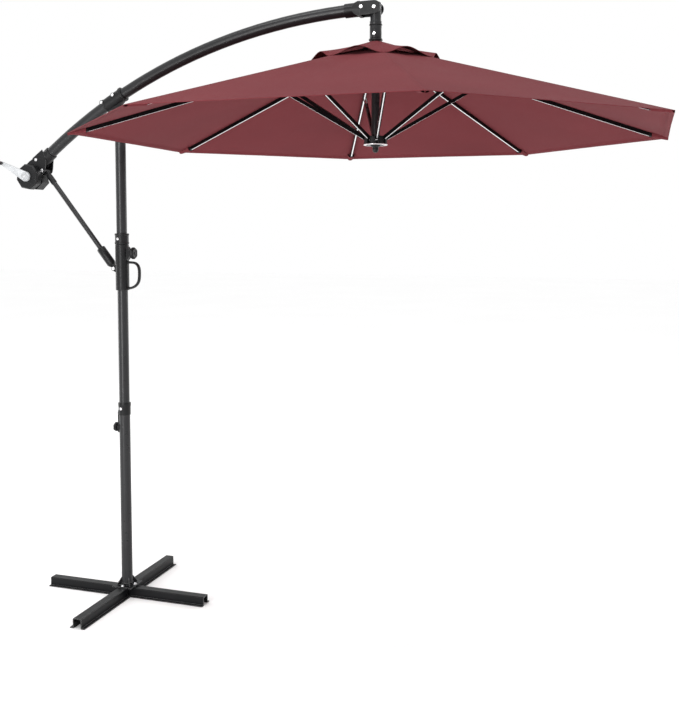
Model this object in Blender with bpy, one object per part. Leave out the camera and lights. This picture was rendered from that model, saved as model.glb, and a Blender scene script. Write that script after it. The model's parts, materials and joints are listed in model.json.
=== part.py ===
"""Cantilever patio umbrella on a crossed steel base, as separate pieces.

Frame: the pole stands on the Z axis with the floor at z = 0, and the boom reaches out
along +X. The canopy is a regular octagon whose corners carry the ribs.
"""
import math

import bmesh
import bpy
from mathutils import Matrix, Vector

# ---------------------------------------------------------------- driving dimensions
TOUCH = 0.0004          # gap between pieces that touch
RUN = 0.0007            # gap of a piece that slides or turns

CANOPY_X = 1.204        # canopy axis, distance from the pole axis
CANOPY_R = 1.25         # corner radius of the octagon
CANOPY_APEX_Z = 2.459   # where the canopy's top surface would meet its axis
CANOPY_EDGE_Z = 2.089   # height of the octagon's corners
CLOTH = 0.0012          # thickness of the cloth solids
CAP_LIFT = 0.0526       # rise of the vent cap between ribs, per metre from the axis
RIB_COUNT = 8
FIRST_RIB_DEG = 22.5

BAR_HALF_LENGTH = 0.4045
BAR_HALF_WEB = 0.0215
BAR_HALF_FLANGE = 0.0365
BAR_WALL = 0.0042
BAR_HEIGHT = 0.0400
BAR_STEP = BAR_WALL + TOUCH

LOWER_POLE_R = 0.0250
UPPER_POLE_R = 0.0235
POLE_WALL = 0.0011
LOWER_POLE_TOP = 0.900
UPPER_POLE_BOTTOM = 0.700
UPPER_POLE_TOP = 2.190
HEAD_Z = 2.2387         # bracket pivot on the pole head

SLIDER_BOTTOM = 1.425
SLIDER_TOP = 1.6345
SLIDER_R = 0.0305
KNOB_Z = 1.594
STRUT_FOOT = Vector((-0.0385, 0, 1.5235))
STRUT_HEAD = Vector((-0.400, 0, 1.975))
STRUT_R = 0.0112
PIN_R = 0.0040
PIN_HOLE_R = 0.0045
OPEN_PIVOT_HOLE_R = 0.0056

ARC_X = 1.204           # centre of the boom's arc
ARC_Z = 0.082
ARC_R = 2.525
BOOM_R = 0.0250
BOOM_WALL = 0.0014
BOOM_END_DEG = 1.72     # angles are measured from straight up, towards the pole
BOOM_FOOT_DEG = 39.40
SLEEVE_R = 0.0300
BRACKET_DEG = 29.173
BRACKET_HALF_DEG = 1.25
ELBOW = Vector((1.204, 0, 2.607))
CRANK_Y = -0.0725
CRANK_AXIS_UV = (0.0902, 0.0313)
CRANK_TIP = Vector((-0.128, 0, 0.064))

HUB_HINGE_R = 0.040
HUB_HINGE_Z = 2.4372
RIB_TIP_R = 1.185
RIB_DEPTH = 0.015
RIB_WIDTH = 0.010
RIB_WALL = 0.0009
STRETCHER_REACH = 0.465
RUNNER_HINGE_R = 0.038
RUNNER_HINGE_Z = 2.069
POST_R = 0.0170

RIB_SLOPE = (CANOPY_APEX_Z - CANOPY_EDGE_Z) / CANOPY_R

# colour, roughness, metallic
CHARCOAL = ("charcoal_paint", (0.035, 0.036, 0.040), 0.38, 0.6)
BLACK = ("black_plastic", (0.012, 0.012, 0.013), 0.45, 0.0)
STEEL = ("bright_steel", (0.72, 0.72, 0.73), 0.25, 1.0)
PALE = ("pale_plastic", (0.72, 0.73, 0.74), 0.40, 0.0)
CLOTH_RED = ("burgundy_cloth", (0.165, 0.030, 0.036), 0.85, 0.0)


# ---------------------------------------------------------------- modelling helpers
def clear_scene():
    for obj in list(bpy.data.objects):
        bpy.data.objects.remove(obj, do_unlink=True)


def material(spec):
    name, colour, roughness, metallic = spec
    found = bpy.data.materials.get(name)
    if found:
        return found
    made = bpy.data.materials.new(name)
    made.use_nodes = True
    shader = made.node_tree.nodes["Principled BSDF"]
    shader.inputs["Base Color"].default_value = (*colour, 1)
    shader.inputs["Roughness"].default_value = roughness
    shader.inputs["Metallic"].default_value = metallic
    return made


def piece(name, shape, spec, origin=(0, 0, 0)):
    """One named object; its mesh is given in world positions, its origin sits at origin."""
    bmesh.ops.recalc_face_normals(shape, faces=shape.faces)
    bmesh.ops.translate(shape, verts=shape.verts, vec=-Vector(origin))
    mesh = bpy.data.meshes.new(name)
    shape.to_mesh(mesh)
    shape.free()
    mesh.materials.append(material(spec))
    mesh.shade_smooth()
    mesh.set_sharp_from_angle(angle=math.radians(35))
    obj = bpy.data.objects.new(name, mesh)
    obj.location = origin
    bpy.context.scene.collection.objects.link(obj)
    return obj


def combine(obj, tool, operation):
    """Union or difference with a tool object, which stays out of the model."""
    tool.hide_render = True
    tool.display_type = "WIRE"
    modifier = obj.modifiers.new(tool.name, "BOOLEAN")
    modifier.operation = operation
    modifier.object = tool


def join_on(obj, shape, label):
    combine(obj, piece(obj.name + "_tool_" + label, shape, CHARCOAL), "UNION")


def cut(obj, shape, label):
    combine(obj, piece(obj.name + "_tool_" + label, shape, CHARCOAL), "DIFFERENCE")


def bridge_rings(shape, rings, closed):
    pairs = list(zip(rings, rings[1:]))
    if closed:
        pairs.append((rings[-1], rings[0]))
    for first, second in pairs:
        count = max(len(first), len(second))
        for i in range(count):
            j = (i + 1) % count
            corners = [first[i % len(first)], first[j % len(first)]]
            corners += [second[j % len(second)], second[i % len(second)]]
            unique = list(dict.fromkeys(corners))
            if len(unique) > 2:
                shape.faces.new(unique)


def turned(profile, segments=24, start=(0, 0, 0), axis=(0, 0, 1), phase=0.0):
    """Solid of revolution. profile: (radius, distance along axis), closed unless it ends on the axis."""
    along = Vector(axis).normalized()
    side = along.orthogonal().normalized() if abs(along.z) < 0.9 else Vector((1, 0, 0))
    if abs(along.y) > 0.9:
        side = Vector((1, 0, 0))
    across = along.cross(side)
    shape = bmesh.new()
    rings = []
    for radius, distance in profile:
        centre = Vector(start) + along * distance
        if radius < 1e-9:
            rings.append([shape.verts.new(centre)])
            continue
        ring = []
        for i in range(segments):
            turn = phase + math.tau * i / segments
            ring.append(shape.verts.new(centre + radius * (side * math.cos(turn) + across * math.sin(turn))))
        rings.append(ring)
    bridge_rings(shape, rings, closed=profile[0][0] > 1e-9 or profile[-1][0] > 1e-9)
    return shape


def ring_profile(outer, inner, low, high, chamfer=0.0):
    c = chamfer
    if not c:
        return [(inner, low), (outer, low), (outer, high), (inner, high)]
    return [(inner, low), (outer - c, low), (outer, low + c), (outer, high - c), (outer - c, high), (inner, high)]


def rod_profile(radius, low, high, chamfer=0.0):
    c = chamfer
    if not c:
        return [(0, low), (radius, low), (radius, high), (0, high)]
    return [(0, low), (radius - c, low), (radius, low + c), (radius, high - c), (radius - c, high), (0, high)]


def cylinder(radius, start, end, segments=20):
    start, end = Vector(start), Vector(end)
    length = (end - start).length
    return turned(rod_profile(radius, 0, length), segments, start, end - start)


def plate(outline, low_y, high_y):
    """An outline in the XZ plane, thickened along Y."""
    shape = bmesh.new()
    near = [shape.verts.new((x, low_y, z)) for x, z in outline]
    far = [shape.verts.new((x, high_y, z)) for x, z in outline]
    shape.faces.new(near)
    shape.faces.new(far)
    bridge_rings(shape, [near, far], closed=False)
    return shape


def block(low, high):
    shape = plate([(low[0], low[2]), (high[0], low[2]), (high[0], high[2]), (low[0], high[2])], low[1], high[1])
    return shape


def planar_tube(path, outer, inner=0.0, segments=24, breadth=1.0):
    """A tube or rod along points in the XZ plane, round unless breadth widens it along Y."""
    shape = bmesh.new()
    path = [Vector(p) for p in path]
    layers = []
    for radius in (outer, inner) if inner else (outer,):
        rings = []
        for i, point in enumerate(path):
            ahead = path[min(i + 1, len(path) - 1)] - path[max(i - 1, 0)]
            normal = ahead.normalized().cross(Vector((0, 1, 0)))
            ring = []
            for k in range(segments):
                turn = math.tau * k / segments
                offset = normal * math.cos(turn) + Vector((0, breadth, 0)) * math.sin(turn)
                ring.append(shape.verts.new(point + radius * offset))
            rings.append(ring)
        layers.append(rings)
    if inner:
        bridge_rings(shape, layers[0] + layers[1][::-1], closed=True)
    else:
        bridge_rings(shape, layers[0], closed=False)
        shape.faces.new(layers[0][0])
        shape.faces.new(layers[0][-1])
    return shape


def arc_point(degrees, radius=ARC_R, y=0.0):
    turn = math.radians(degrees)
    return Vector((ARC_X - radius * math.sin(turn), y, ARC_Z + radius * math.cos(turn)))


def arc_path(start_deg, end_deg, steps):
    return [arc_point(start_deg + (end_deg - start_deg) * i / steps) for i in range(steps + 1)]


def rounded_link(start, end, start_r, end_r, steps=10):
    """Outline of a plate with two round ends, in the XZ plane."""
    ahead = (end - start).normalized()
    heading = math.atan2(ahead.z, ahead.x)
    outline = []
    for centre, radius, first in ((end, end_r, -90), (start, start_r, 90)):
        for i in range(steps + 1):
            turn = heading + math.radians(first + 180 * i / steps)
            outline.append((centre.x + radius * math.cos(turn), centre.z + radius * math.sin(turn)))
    return outline


def headed_pin(centre, half_length, head_r=0.0078, head=0.0028, axis=(0, 1, 0)):
    """A cross pin with a low round head at each end."""
    h = half_length
    profile = [(0, -h - head), (head_r * 0.8, -h - head), (head_r, -h - head * 0.5), (head_r, -h), (PIN_R, -h)]
    profile += [(r, -d) for r, d in reversed(profile)]
    return turned(profile, 14, centre, axis)


def smooth_path(points, steps=5):
    """Catmull-Rom curve through the points."""
    points = [Vector(p) for p in points]
    padded = [points[0] * 2 - points[1]] + points + [points[-1] * 2 - points[-2]]
    path = []
    for a, b, c, d in zip(padded, padded[1:], padded[2:], padded[3:]):
        for i in range(steps):
            t = i / steps
            path.append(0.5 * (2 * b + (c - a) * t + (2 * a - 5 * b + 4 * c - d) * t**2
                               + (3 * b - a - 3 * c + d) * t**3))
    return path + [points[-1]]


# ---------------------------------------------------------------- crossed base
def bar_outline(top):
    """Half-open hat section: (across, height) points."""
    inner = BAR_HALF_WEB - BAR_WALL
    right = [(inner, 0), (BAR_HALF_FLANGE, 0), (BAR_HALF_FLANGE, BAR_WALL), (BAR_HALF_WEB, BAR_WALL)]
    right += [(BAR_HALF_WEB, top - 0.003), (BAR_HALF_WEB - 0.003, top)]
    left = [(-a, h) for a, h in reversed(right)]
    return right + left + [(-inner, top - BAR_WALL), (inner, top - BAR_WALL)]


def hat_bar(top):
    return plate(bar_outline(top), -BAR_HALF_LENGTH, BAR_HALF_LENGTH)


def build_base():
    upper_top = BAR_HEIGHT + BAR_STEP
    plate_low = upper_top + TOUCH
    plate_high = plate_low + 0.005
    bolt_reach = 0.0395
    bolt_places = [(bolt_reach, 0), (0, bolt_reach), (-bolt_reach, 0), (0, -bolt_reach)]

    bar_y = piece("cross_bar_y", hat_bar(upper_top), CHARCOAL)
    notch = BAR_HALF_FLANGE + TOUCH
    cut(bar_y, block((-0.1, -notch, -0.01), (0.1, notch, BAR_HEIGHT + TOUCH * 0.6)), "notch")
    shape = hat_bar(BAR_HEIGHT)
    bmesh.ops.rotate(shape, verts=shape.verts, matrix=Matrix.Rotation(math.radians(90), 3, "Z"))
    bar_x = piece("cross_bar_x", shape, CHARCOAL)

    spacer_half = BAR_HALF_WEB - BAR_WALL - 0.001
    spacer_top = BAR_HEIGHT - BAR_WALL - TOUCH
    spacer = piece("spacer_block", block((-0.055, -spacer_half, 0), (0.055, spacer_half, spacer_top)), BLACK)

    foot = piece("pole_foot", block((-0.050, -0.050, plate_low), (0.050, 0.050, plate_high)), CHARCOAL)
    socket_in = LOWER_POLE_R + TOUCH
    join_on(foot, turned(rod_profile(0.0275, plate_high - 0.001, plate_high + 0.010, 0.0015), 32), "socket")
    gusset = [(0.0240, plate_high - 0.0005), (0.0480, plate_high - 0.0005), (0.0480, plate_high + 0.003)]
    gusset += [(0.0275, plate_high + 0.034), (0.0240, plate_high + 0.034)]
    for i in range(4):
        shape = plate(gusset, -0.002, 0.002)
        bmesh.ops.rotate(shape, verts=shape.verts, matrix=Matrix.Rotation(math.radians(45 + 90 * i), 3, "Z"))
        join_on(foot, shape, "gusset_%d" % i)
    cut(foot, turned(rod_profile(socket_in, plate_high, 0.13), 32), "bore")

    for i, (x, y) in enumerate(bolt_places):
        bottom = 0.012 if i % 2 == 0 else 0.034
        clamped = (foot, bar_x, spacer) if i % 2 == 0 else (foot, bar_y)
        for plate_or_bar in clamped:
            cut(plate_or_bar, cylinder(0.0046, (x, y, bottom - 0.003), (x, y, 0.06), 14), "bolt_%d" % i)
        head = plate_high + TOUCH
        profile = [(0, bottom), (0.0040, bottom), (0.0040, head), (0.0088, head), (0.0088, head + 0.0012)]
        profile += [(0.0070, head + 0.0014), (0.0068, head + 0.0060), (0.0058, head + 0.0068), (0, head + 0.0068)]
        piece("base_bolt_%d" % (i + 1), turned(profile, 12, (x, y, 0)), STEEL, (x, y, head))


# ---------------------------------------------------------------- pole
def build_pole():
    foot_floor = BAR_HEIGHT + BAR_STEP + TOUCH + 0.005 + TOUCH
    inner = LOWER_POLE_R - POLE_WALL
    piece("lower_pole", turned(ring_profile(LOWER_POLE_R, inner, foot_floor, LOWER_POLE_TOP), 32), CHARCOAL)
    inner = UPPER_POLE_R - POLE_WALL
    profile = ring_profile(UPPER_POLE_R, inner, UPPER_POLE_BOTTOM, UPPER_POLE_TOP)
    piece("upper_pole", turned(profile, 32), CHARCOAL)

    bore = LOWER_POLE_R + TOUCH
    profile = [(bore, 0.848), (0.0268, 0.848), (0.0276, 0.851), (0.0276, 0.884), (0.0290, 0.892)]
    profile += [(0.0290, 0.903), (0.0280, 0.905), (UPPER_POLE_R + RUN, 0.905), (UPPER_POLE_R + RUN, 0.901)]
    profile += [(bore, 0.901)]
    collar = piece("lower_collar", turned(profile, 32), BLACK)
    strip = plate([(-0.0318, 0.764), (-0.0260, 0.764), (-0.0260, 0.870), (-0.0285, 0.870), (-0.0318, 0.860)],
                  -0.0075, 0.0075)
    join_on(collar, strip, "strip")
    knob_z = 0.789
    cut(collar, cylinder(0.0042, (-0.05, 0, knob_z), (-0.02, 0, knob_z), 16), "screw")
    profile = [(0, 0.0256), (0.0036, 0.0256), (0.0036, 0.0324), (0.0080, 0.0324), (0.0095, 0.0345)]
    profile += [(0.0205, 0.0360), (0.0215, 0.0385), (0.0215, 0.0480), (0.0190, 0.0510), (0, 0.0525)]
    piece("lower_knob", turned(profile, 20, (0, 0, knob_z), (-1, 0, 0)), BLACK, (-0.0324, 0, knob_z))

    bore = UPPER_POLE_R + TOUCH
    profile = [(bore, 2.128), (0.0265, 2.128), (0.0278, 2.131), (0.0278, 2.206), (0.0250, 2.212)]
    profile += [(0, 2.212), (0, UPPER_POLE_TOP + TOUCH), (bore, UPPER_POLE_TOP + TOUCH)]
    head = piece("pole_head", turned(profile, 32), BLACK)
    pivot = Vector((0, 0, HEAD_Z))
    for side in (-1, 1):
        cheek = plate(rounded_link(Vector((0, 0, 2.205)), pivot, 0.018, 0.016), min(side * 0.0100, side * 0.0160),
                      max(side * 0.0100, side * 0.0160))
        join_on(head, cheek, "cheek_%s" % ("left" if side < 0 else "right"))
    cut(head, cylinder(PIN_HOLE_R, (0, -0.03, HEAD_Z), (0, 0.03, HEAD_Z), 16), "pin")
    piece("bracket_pin", headed_pin(pivot, 0.0164), STEEL, pivot)


# ---------------------------------------------------------------- slider, strut
def build_slider():
    bore = UPPER_POLE_R + RUN
    profile = rod_profile(SLIDER_R, SLIDER_BOTTOM, SLIDER_TOP, 0.0015)
    sleeve = piece("slider_sleeve", turned(profile, 32), BLACK)
    wall = Vector((-0.0275, 0, STRUT_FOOT.z))
    for side in (-1, 1):
        ear = plate(rounded_link(wall, STRUT_FOOT, 0.0165, 0.0110), min(side * 0.0090, side * 0.0145),
                    max(side * 0.0090, side * 0.0145))
        join_on(sleeve, ear, "ear_%s" % ("left" if side < 0 else "right"))
    gusset = [(0.0270, KNOB_Z - 0.0300), (0.0320, KNOB_Z - 0.0300), (0.0440, KNOB_Z - 0.0130)]
    gusset += [(0.0440, KNOB_Z + 0.0130), (0.0320, KNOB_Z + 0.0300), (0.0270, KNOB_Z + 0.0300)]
    join_on(sleeve, plate(gusset, -0.0120, 0.0120), "boss")
    cut(sleeve, turned(rod_profile(bore, SLIDER_BOTTOM - 0.01, SLIDER_TOP + 0.01), 32), "bore")
    pin_ends = [STRUT_FOOT + Vector((0, y, 0)) for y in (-0.03, 0.03)]
    cut(sleeve, cylinder(PIN_HOLE_R, *pin_ends, 16), "pin")
    cut(sleeve, cylinder(0.0044, (0.02, 0, KNOB_Z), (0.05, 0, KNOB_Z), 16), "screw")

    profile = [(bore, 1.6350), (0.0300, 1.6350), (0.0325, 1.6375), (0.0325, 1.6430), (0.0305, 1.6450)]
    profile += [(0.0305, 1.6740), (0.0325, 1.6760), (0.0325, 1.6815), (0.0300, 1.6840), (bore, 1.6840)]
    piece("slider_ring", turned(profile, 32), BLACK)

    profile = [(0, 0.0245), (0.0038, 0.0245), (0.0038, 0.0445), (0.0120, 0.0445), (0.0130, 0.0500)]
    profile += [(0.0260, 0.0520), (0.0270, 0.0545), (0.0270, 0.0620), (0.0245, 0.0660), (0, 0.0680)]
    piece("slider_knob", turned(profile, 20, (0, 0, KNOB_Z), (1, 0, 0)), BLACK, (0.0445, 0, KNOB_Z))

    start_x = SLIDER_R + TOUCH
    route = [(start_x, 0, 1.5520), (0.0420, 0, 1.5520), (0.0700, 0, 1.5480), (0.0860, 0, 1.5280)]
    route += [(0.0880, 0, 1.4900), (0.0820, 0, 1.4620), (0.0640, 0, 1.4430), (0.0420, 0, 1.4350)]
    route += [(start_x, 0, 1.4340)]
    piece("slider_handle", planar_tube(smooth_path(route, 3), 0.0058, segments=12, breadth=1.8), BLACK)
    piece("strut_pin", headed_pin(STRUT_FOOT, 0.0149), STEEL, STRUT_FOOT)


def build_strut():
    ahead = (STRUT_HEAD - STRUT_FOOT).normalized()
    length = (STRUT_HEAD - STRUT_FOOT).length
    tube_in = STRUT_R + TOUCH
    profile = [(0, 0.020), (0.0150, 0.020), (0.0200, 0.030), (0.0200, 0.114), (0.0185, 0.117)]
    profile += [(tube_in, 0.117), (tube_in, 0.056), (0, 0.056)]
    socket = piece("strut_socket", turned(profile, 24, STRUT_FOOT, ahead), BLACK, STRUT_FOOT)
    tongue = plate(rounded_link(STRUT_FOOT, STRUT_FOOT + ahead * 0.032, 0.0072, 0.0100), -0.0084, 0.0084)
    join_on(socket, tongue, "tongue")
    pin_ends = [STRUT_FOOT + Vector((0, y, 0)) for y in (-0.03, 0.03)]
    cut(socket, cylinder(PIN_HOLE_R, *pin_ends, 16), "pin")

    top = length - 0.046
    profile = ring_profile(STRUT_R, STRUT_R - 0.0012, 0.0565, top)
    piece("strut_tube", turned(profile, 24, STRUT_FOOT, ahead), CHARCOAL, STRUT_FOOT)

    profile = [(tube_in, length - 0.072), (0.0136, length - 0.072), (0.0136, length - 0.034)]
    profile += [(0.0110, length - 0.022), (0, length - 0.022), (0, top + TOUCH), (tube_in, top + TOUCH)]
    end = piece("strut_end", turned(profile, 24, STRUT_FOOT, ahead), BLACK, STRUT_FOOT)
    neck = plate(rounded_link(STRUT_HEAD - ahead * 0.034, STRUT_HEAD, 0.0090, 0.0090), -0.0100, 0.0100)
    join_on(end, neck, "neck")
    barrel_ends = [STRUT_HEAD + Vector((0, y, 0)) for y in (-0.0255, 0.0255)]
    join_on(end, cylinder(0.0110, *barrel_ends, 24), "barrel")
    hole_ends = [STRUT_HEAD + Vector((0, y, 0)) for y in (-0.04, 0.04)]
    cut(end, cylinder(OPEN_PIVOT_HOLE_R, *hole_ends, 16), "hole")


# ---------------------------------------------------------------- boom
def build_bracket():
    low, high = BRACKET_DEG - BRACKET_HALF_DEG, BRACKET_DEG + BRACKET_HALF_DEG
    pivot = Vector((0, 0, HEAD_Z))
    shape = planar_tube(arc_path(low, high, 6), SLEEVE_R, BOOM_R + RUN, 24)
    bracket = piece("boom_bracket", shape, BLACK, pivot)
    lug_top = arc_point(BRACKET_DEG, ARC_R - 0.0375)
    outline = rounded_link(pivot, lug_top, 0.0130, 0.0110)
    join_on(bracket, plate(outline, -0.0092, 0.0092), "lug")
    web = [arc_point(BRACKET_DEG + side * 1.2, ARC_R - 0.0268) for side in (1, 0, -1)]
    web += [arc_point(BRACKET_DEG - 0.22, ARC_R - 0.042), arc_point(BRACKET_DEG + 0.22, ARC_R - 0.042)]
    join_on(bracket, plate([(p.x, p.z) for p in web], -0.0092, 0.0092), "web")
    cut(bracket, cylinder(PIN_HOLE_R, (0, -0.03, HEAD_Z), (0, 0.03, HEAD_Z), 16), "pin")


def foot_point(u, v):
    """A place by the boom's foot: u along the boom past its bracket, v below its centre line."""
    origin = arc_point(39.6)
    turn = math.radians(39.6)
    along = Vector((-math.cos(turn), 0, -math.sin(turn)))
    below = Vector((math.sin(turn), 0, -math.cos(turn)))
    return origin + along * u + below * v


def foot_outline(points):
    return [(foot_point(u, v).x, foot_point(u, v).z) for u, v in points]


def build_boom():
    boom = planar_tube(arc_path(BOOM_END_DEG, BOOM_FOOT_DEG, 26), BOOM_R, BOOM_R - BOOM_WALL, 24)
    piece("boom_tube", boom, CHARCOAL)

    sleeve = planar_tube(arc_path(38.45, 39.66, 4), SLEEVE_R, segments=24)
    bracket = piece("crank_bracket", sleeve, BLACK)
    side_plate = [(-0.034, -0.0295), (0.030, -0.0330), (0.040, -0.0250), (0.0440, 0.0200)]
    side_plate += [(0.0440, 0.0480), (0.0360, 0.0580), (0.0220, 0.0580), (0.0080, 0.0480), (-0.020, 0.0200)]
    for side in (-1, 1):
        low, high = min(side * 0.0262, side * 0.0302), max(side * 0.0262, side * 0.0302)
        join_on(bracket, plate(foot_outline(side_plate), low, high), "plate_%s" % ("left" if side < 0 else "right"))
    cut(bracket, planar_tube(arc_path(38.2, 39.9, 4), BOOM_R + RUN, segments=24), "bore")
    for label, place in (("pin", STRUT_HEAD), ("bolt", foot_point(0.0214, -0.0157))):
        ends = [place + Vector((0, y, 0)) for y in (-0.05, 0.05)]
        cut(bracket, cylinder(PIN_HOLE_R, *ends, 16), label)
    piece("crank_pin", headed_pin(STRUT_HEAD, 0.0306), STEEL, STRUT_HEAD)

    block_half = 0.0285
    elbow = piece("elbow", planar_tube(arc_path(1.40, 2.95, 5), 0.0290, segments=24), BLACK)
    start = arc_point(1.365)
    corner = [(start.x, start.z - 0.0285), (start.x, start.z + 0.0285)]
    back = arc_point(1.66)
    corner += [(back.x, back.z + 0.0285), (back.x, back.z - 0.0285)]
    join_on(elbow, plate(corner, -block_half, block_half), "block")
    for side in (-1, 1):
        low, high = min(side * 0.0236, side * 0.0284), max(side * 0.0236, side * 0.0284)
        outline = rounded_link(arc_point(1.55), ELBOW, 0.0270, 0.0270)
        join_on(elbow, plate(outline, low, high), "cheek_%s" % ("left" if side < 0 else "right"))
    cut(elbow, planar_tube(arc_path(1.675, 3.2, 5), BOOM_R + RUN, segments=24), "bore")
    cut(elbow, cylinder(PIN_HOLE_R, ELBOW - Vector((0, 0.05, 0)), ELBOW + Vector((0, 0.05, 0)), 16), "pin")
    piece("elbow_pin", headed_pin(ELBOW, 0.0288), STEEL, ELBOW)


def build_crank():
    centre = foot_point(*CRANK_AXIS_UV)
    case = [(0.0045, -0.0270), (0.0560, -0.0360), (0.1250, -0.0340), (0.1500, 0.0050), (0.1440, 0.0560)]
    case += [(0.1120, 0.0880), (0.0640, 0.0860), (0.0550, 0.0600), (0.0550, 0.0280), (0.0045, 0.0270)]
    housing = piece("crank_housing", plate(foot_outline(case), -0.0256, 0.0256), BLACK)
    join_on(housing, cylinder(0.0440, centre - Vector((0, 0.0344, 0)), centre - Vector((0, 0.02, 0)), 32), "neck")
    cut(housing, cylinder(0.0390, centre - Vector((0, 0.04, 0)), centre + Vector((0, 0.0216, 0)), 32), "pocket")
    bolt = foot_point(0.0214, -0.0157)
    cut(housing, cylinder(PIN_HOLE_R, bolt - Vector((0, 0.05, 0)), bolt + Vector((0, 0.05, 0)), 16), "bolt")

    profile = [(0.0600, 0.0348), (0.0600, 0.0640), (0.0545, 0.0700), (0.0075, 0.0700), (0.0075, 0.0660)]
    profile += [(0.0520, 0.0660), (0.0560, 0.0620), (0.0560, 0.0348)]
    cover = turned(profile, 8, centre, (0, -1, 0), phase=math.radians(12))
    piece("crank_cover", cover, BLACK, centre)

    profile = [(0, -0.0200), (0.0060, -0.0200), (0.0060, -0.0170), (0.0300, -0.0170), (0.0300, -0.0140)]
    profile += [(0.0200, -0.0140), (0.0200, 0.0200), (0.0300, 0.0200), (0.0300, 0.0230), (0.0060, 0.0230)]
    profile += [(0.0060, 0.0880), (0, 0.0880)]
    piece("crank_spool", turned(profile, 20, centre, (0, -1, 0)), STEEL, centre)

    hub_y = CRANK_Y
    tip = centre + CRANK_TIP
    arm = piece("crank_arm", plate(rounded_link(centre, tip, 0.0225, 0.0075, 12), hub_y - 0.0085, hub_y), PALE, centre)
    bore_ends = [Vector((centre.x, y, centre.z)) for y in (hub_y - 0.02, hub_y + 0.01)]
    cut(arm, cylinder(0.0064, *bore_ends, 20), "bore")
    hole_ends = [Vector((tip.x, y, tip.z)) for y in (hub_y - 0.02, hub_y + 0.01)]
    cut(arm, cylinder(0.0035, *hole_ends, 14), "tip_hole")
    low = -hub_y
    profile = [(0, low + 0.0005), (0.0030, low + 0.0005), (0.0030, low + 0.0092), (0.0072, low + 0.0092)]
    profile += [(0.0085, low + 0.0115), (0.0092, low + 0.0260), (0.0085, low + 0.0345), (0.0060, low + 0.0370)]
    profile += [(0, low + 0.0370)]
    grip_origin = (tip.x, hub_y, tip.z)
    piece("crank_grip", turned(profile, 20, (tip.x, 0, tip.z), (0, -1, 0)), BLACK, grip_origin)


# ---------------------------------------------------------------- canopy hanger
def build_hanger():
    axis_foot = (CANOPY_X, 0, 0)
    profile = [(0.0205, 2.500), (0.0225, 2.500), (0.0225, 2.622), (0.0205, 2.629), (0.0150, 2.632)]
    profile += [(0, 2.632), (0, 2.628), (0.0185, 2.620), (0.0205, 2.612)]
    tube = piece("hanger_tube", turned(profile, 28, axis_foot), CHARCOAL, ELBOW)
    cut(tube, cylinder(PIN_HOLE_R, ELBOW - Vector((0, 0.03, 0)), ELBOW + Vector((0, 0.03, 0)), 16), "pin")

    bore = 0.0225 + TOUCH
    profile = [(bore, 2.5395), (0.0240, 2.5395), (0.0247, 2.5415), (0.0247, 2.5520), (0.0238, 2.5540), (bore, 2.5540)]
    piece("swivel_collar", turned(profile, 28, axis_foot), CHARCOAL)
    profile = [(POST_R + TOUCH, 2.4830), (0.0237, 2.4830), (0.0247, 2.4845), (0.0247, 2.5370), (0.0237, 2.5385)]
    profile += [(bore, 2.5385), (bore, 2.4990), (POST_R + TOUCH, 2.4990)]
    piece("coupler", turned(profile, 28, axis_foot), CHARCOAL)
    profile = ring_profile(0.0285, POST_R + TOUCH, 2.4740, 2.4825, 0.0020)
    piece("cap_flange", turned(profile, 28, axis_foot), BLACK)

    profile = ring_profile(POST_R, POST_R - 0.0015, 2.0865, 2.5350)
    piece("centre_post", turned(profile, 28, axis_foot), CHARCOAL)
    profile = [(POST_R + TOUCH, 2.4180), (0.0490, 2.4180), (0.0520, 2.4210), (0.0520, 2.4500), (0.0490, 2.4540)]
    profile += [(POST_R + TOUCH, 2.4540)]
    hub = piece("crown_hub", turned(profile, 28, axis_foot), BLACK)
    cut_slots(hub, 0.0278, 0.0056, 2.40, 2.47)


def cut_slots(hub, inner_r, half_width, low, high):
    for k in range(RIB_COUNT):
        shape = block((inner_r, -half_width, low), (0.08, half_width, high))
        place_on_rib(shape, k)
        cut(hub, shape, "slot_%d" % k)


def place_on_rib(shape, k):
    """Turn a shape made along +X from the canopy axis onto rib k."""
    turn = math.radians(FIRST_RIB_DEG + 360 * k / RIB_COUNT)
    bmesh.ops.rotate(shape, verts=shape.verts, matrix=Matrix.Rotation(turn, 3, "Z"))
    bmesh.ops.translate(shape, verts=shape.verts, vec=(CANOPY_X, 0, 0))


def rib_place(k, radius, height):
    turn = math.radians(FIRST_RIB_DEG + 360 * k / RIB_COUNT)
    return Vector((CANOPY_X + radius * math.cos(turn), radius * math.sin(turn), height))


def channel(section, start, end):
    """A section of (side, depth below the line) points swept from start to end in the XZ plane."""
    ahead = (end - start).normalized()
    below = Vector((0, 1, 0)).cross(ahead)
    shape = bmesh.new()
    rings = []
    for place in (start, end):
        rings.append([shape.verts.new(place + Vector((0, side, 0)) + below * depth) for side, depth in section])
    shape.faces.new(rings[0])
    shape.faces.new(rings[1])
    bridge_rings(shape, rings, closed=False)
    return shape


def box_tube(start, end, half_width, half_depth, wall):
    ahead = (end - start).normalized()
    normal = ahead.cross(Vector((0, 1, 0)))
    shape = bmesh.new()
    layers = []
    for w, d in ((half_width, half_depth), (half_width - wall, half_depth - wall)):
        for place in (start, end):
            corners = [(-w, -d), (w, -d), (w, d), (-w, d)]
            layers.append([shape.verts.new(place + Vector((0, s, 0)) + normal * n) for s, n in corners])
    bridge_rings(shape, [layers[0], layers[1], layers[3], layers[2]], closed=True)
    return shape


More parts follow.
